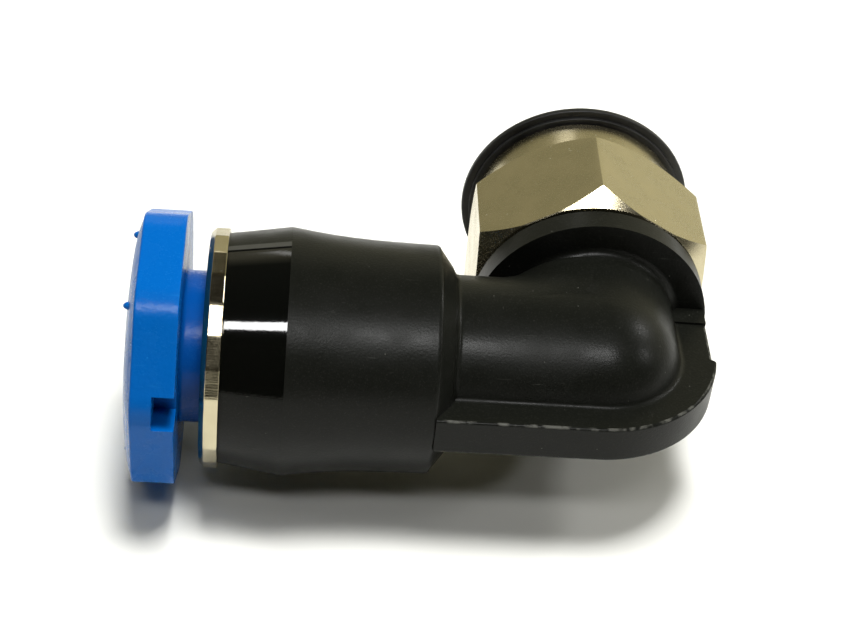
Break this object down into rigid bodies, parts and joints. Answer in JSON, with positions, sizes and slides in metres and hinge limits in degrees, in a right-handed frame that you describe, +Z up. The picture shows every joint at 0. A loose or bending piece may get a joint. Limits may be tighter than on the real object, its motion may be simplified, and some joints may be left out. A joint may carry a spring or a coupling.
{
  "type": "push-in elbow fitting",
  "caption": "Right-angle push-in fitting for compressed-air tube: moulded elbow, spring-back release collar and swivelling hexagon stud with a parallel pipe thread.",
  "frame": {"origin": "centre of the stud's metal sealing face, where the thread starts, on the stud's axis", "axes": "+Y along the stud towards the thread's end, -X towards the mouth that takes the tube, +Z up with the fitting lying on its side"},
  "size_m": [0.0324, 0.0265, 0.015],
  "materials": {
    "housing": "satin black glass-filled moulding",
    "plating": "satin nickel plating on brass",
    "collar": "satin blue acetal",
    "spring_steel": "bright spring steel",
    "inner_plastic": "natural moulded plastic",
    "rubber": "black nitrile rubber"
  },
  "bodies": {
    "elbow": {"elbow_body": "housing", "mouth_ring": "plating", "backing_ring": "inner_plastic", "tube_seal": "rubber"},
    "claw": {"grip_claw": "spring_steel"},
    "collar": {"release_collar": "collar"},
    "stud": {"threaded_stud": "plating", "thread_seal_ring": "rubber", "stud_o_ring": "rubber", "stud_clip": "spring_steel"}
  },
  "joints": [
    {"name": "stud_swivel", "type": "hinge", "parent": "elbow", "child": "stud", "pos_m": [0, 0, 0], "axis": [0, 1, 0], "continuous": true},
    {"name": "claw_turn", "type": "hinge", "parent": "elbow", "child": "claw", "pos_m": [-0.015, -0.01545, 0], "axis": [1, 0, 0], "continuous": true},
    {"name": "collar_press", "type": "slide", "parent": "claw", "child": "collar", "axis": [1, 0, 0], "range_m": [0, 0.00115], "stiffness_N_per_m": 2000}
  ]
}
